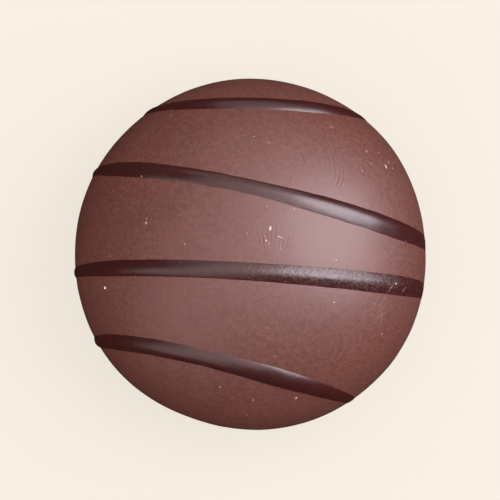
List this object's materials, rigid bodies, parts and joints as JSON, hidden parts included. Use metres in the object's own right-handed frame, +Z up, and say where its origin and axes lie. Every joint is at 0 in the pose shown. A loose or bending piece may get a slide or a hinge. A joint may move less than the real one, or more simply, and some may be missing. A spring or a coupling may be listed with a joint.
{
  "type": "chocolate coated walnut candy",
  "caption": "Round domed candy coated in milk chocolate, with dark chocolate stripes drizzled across its top and down its sides.",
  "frame": {"origin": "at the middle of the flat base, in the plane the candy stands on", "axes": "+Z up from the base to the crown; +X to the right along the stripes as the picture shows them; +Y towards the far side, the top of the picture, across the stripes"},
  "size_m": [0.0345, 0.0339, 0.0211],
  "materials": {
    "milk_chocolate": "set milk chocolate with a soft satin sheen",
    "dark_chocolate": "set dark chocolate, a little glossier than the coat"
  },
  "bodies": {
    "root": {"walnut_candy": "milk_chocolate"}
  },
  "joints": []
}
